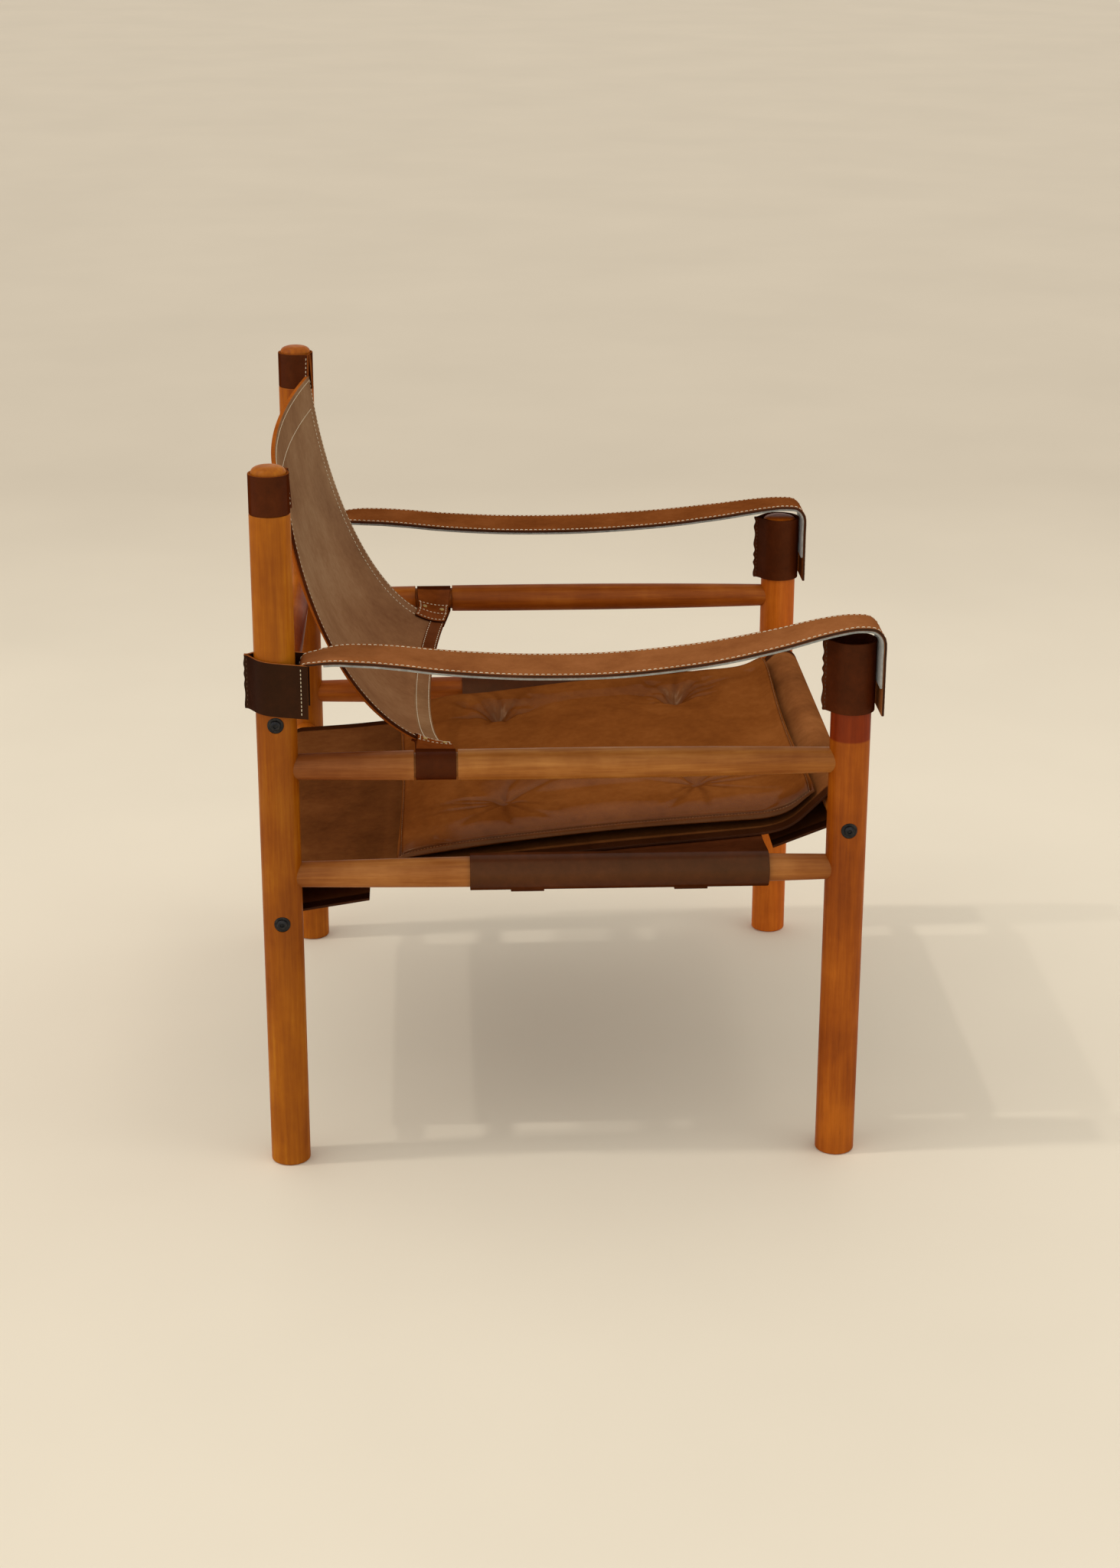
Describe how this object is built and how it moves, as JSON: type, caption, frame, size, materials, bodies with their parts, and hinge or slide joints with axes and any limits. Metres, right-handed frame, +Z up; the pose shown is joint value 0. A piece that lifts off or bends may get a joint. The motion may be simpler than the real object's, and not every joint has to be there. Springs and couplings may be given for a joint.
{
  "type": "campaign chair",
  "caption": "Low knock-down lounge chair: turned wooden legs and rails, with leather slings for seat and back, leather strap arms and a leather cushion.",
  "frame": {"origin": "on the floor, at the middle of the chair's outline seen from above", "axes": "+Z up, -Y to the front (the way the sitter faces), +X to the sitter's left"},
  "size_m": [0.72, 0.6708, 0.787],
  "materials": {
    "frame_wood": "satin varnish, honey brown, turned",
    "black_hardware": "black",
    "brass_hardware": "plain",
    "sling_leather": "worn, smooth, greyed brown",
    "dark_leather": "worn, smooth, dark brown",
    "arm_leather": "worn, smooth, tan",
    "arm_felt": "grey felt",
    "cushion_leather": "worn, glossy, chestnut"
  },
  "bodies": {
    "chair": {"back_leg_right": "frame_wood", "front_leg_right": "frame_wood", "back_leg_left": "frame_wood", "front_leg_left": "frame_wood", "upper_side_rail_right": "frame_wood", "lower_side_rail_right": "frame_wood", "upper_side_rail_left": "frame_wood", "lower_side_rail_left": "frame_wood", "back_upper_cross_rail": "frame_wood", "back_lower_cross_rail": "frame_wood", "front_cross_rail": "frame_wood", "back_upper_bolt_right": "black_hardware", "back_upper_washer_right": "black_hardware", "back_upper_insert_right": "brass_hardware", "back_upper_bolt_left": "black_hardware", "back_upper_washer_left": "black_hardware", "back_upper_insert_left": "brass_hardware", "back_lower_bolt_right": "black_hardware", "back_lower_washer_right": "black_hardware", "back_lower_insert_right": "brass_hardware", "back_lower_bolt_left": "black_hardware", "back_lower_washer_left": "black_hardware", "back_lower_insert_left": "brass_hardware", "front_bolt_right": "black_hardware", "front_washer_right": "black_hardware", "front_insert_right": "brass_hardware", "front_bolt_left": "black_hardware", "front_washer_left": "black_hardware", "front_insert_left": "brass_hardware", "back_sling": "sling_leather", "back_sling_band_right": "dark_leather", "back_sling_loop_right": "dark_leather", "back_sling_band_left": "dark_leather", "back_sling_loop_left": "dark_leather", "arm_band_right": "dark_leather", "arm_sleeve_right": "dark_leather", "arm_strap_right": "arm_leather", "arm_liner_right": "arm_felt", "arm_band_left": "dark_leather", "arm_sleeve_left": "dark_leather", "arm_strap_left": "arm_leather", "arm_liner_left": "arm_felt", "seat_sling_belt_right": "dark_leather", "seat_sling_buckle_right": "brass_hardware", "seat_sling_belt_left": "dark_leather", "seat_sling_buckle_left": "brass_hardware", "side_sling_belt_front": "dark_leather", "side_sling_buckle_front": "brass_hardware", "side_sling_belt_back": "dark_leather", "side_sling_buckle_back": "brass_hardware", "seat_sling": "sling_leather", "side_sling": "dark_leather"},
    "cushion": {"cushion": "cushion_leather"},
    "seat_sling_prong_right": {"seat_sling_prong_right": "brass_hardware"},
    "seat_sling_prong_left": {"seat_sling_prong_left": "brass_hardware"},
    "side_sling_prong_front": {"side_sling_prong_front": "brass_hardware"},
    "side_sling_prong_back": {"side_sling_prong_back": "brass_hardware"}
  },
  "joints": [
    {"name": "cushion_lift", "type": "slide", "parent": "chair", "child": "cushion", "axis": [0, -0.6428, 0.766], "range_m": [0, 0.3]},
    {"name": "seat_sling_prong_right_hinge", "type": "hinge", "parent": "chair", "child": "seat_sling_prong_right", "pos_m": [-0.12, 0.20014, 0.28499], "axis": [1, 0, 0], "range_deg": [0, 20]},
    {"name": "seat_sling_prong_left_hinge", "type": "hinge", "parent": "chair", "child": "seat_sling_prong_left", "pos_m": [0.12, 0.20014, 0.28499], "axis": [1, 0, 0], "range_deg": [0, 20]},
    {"name": "side_sling_prong_front_hinge", "type": "hinge", "parent": "chair", "child": "side_sling_prong_front", "pos_m": [0.23488, -0.1365, 0.31161], "axis": [0, -1, 0], "range_deg": [0, 20]},
    {"name": "side_sling_prong_back_hinge", "type": "hinge", "parent": "chair", "child": "side_sling_prong_back", "pos_m": [0.23488, 0.0405, 0.31161], "axis": [0, -1, 0], "range_deg": [0, 20]}
  ]
}
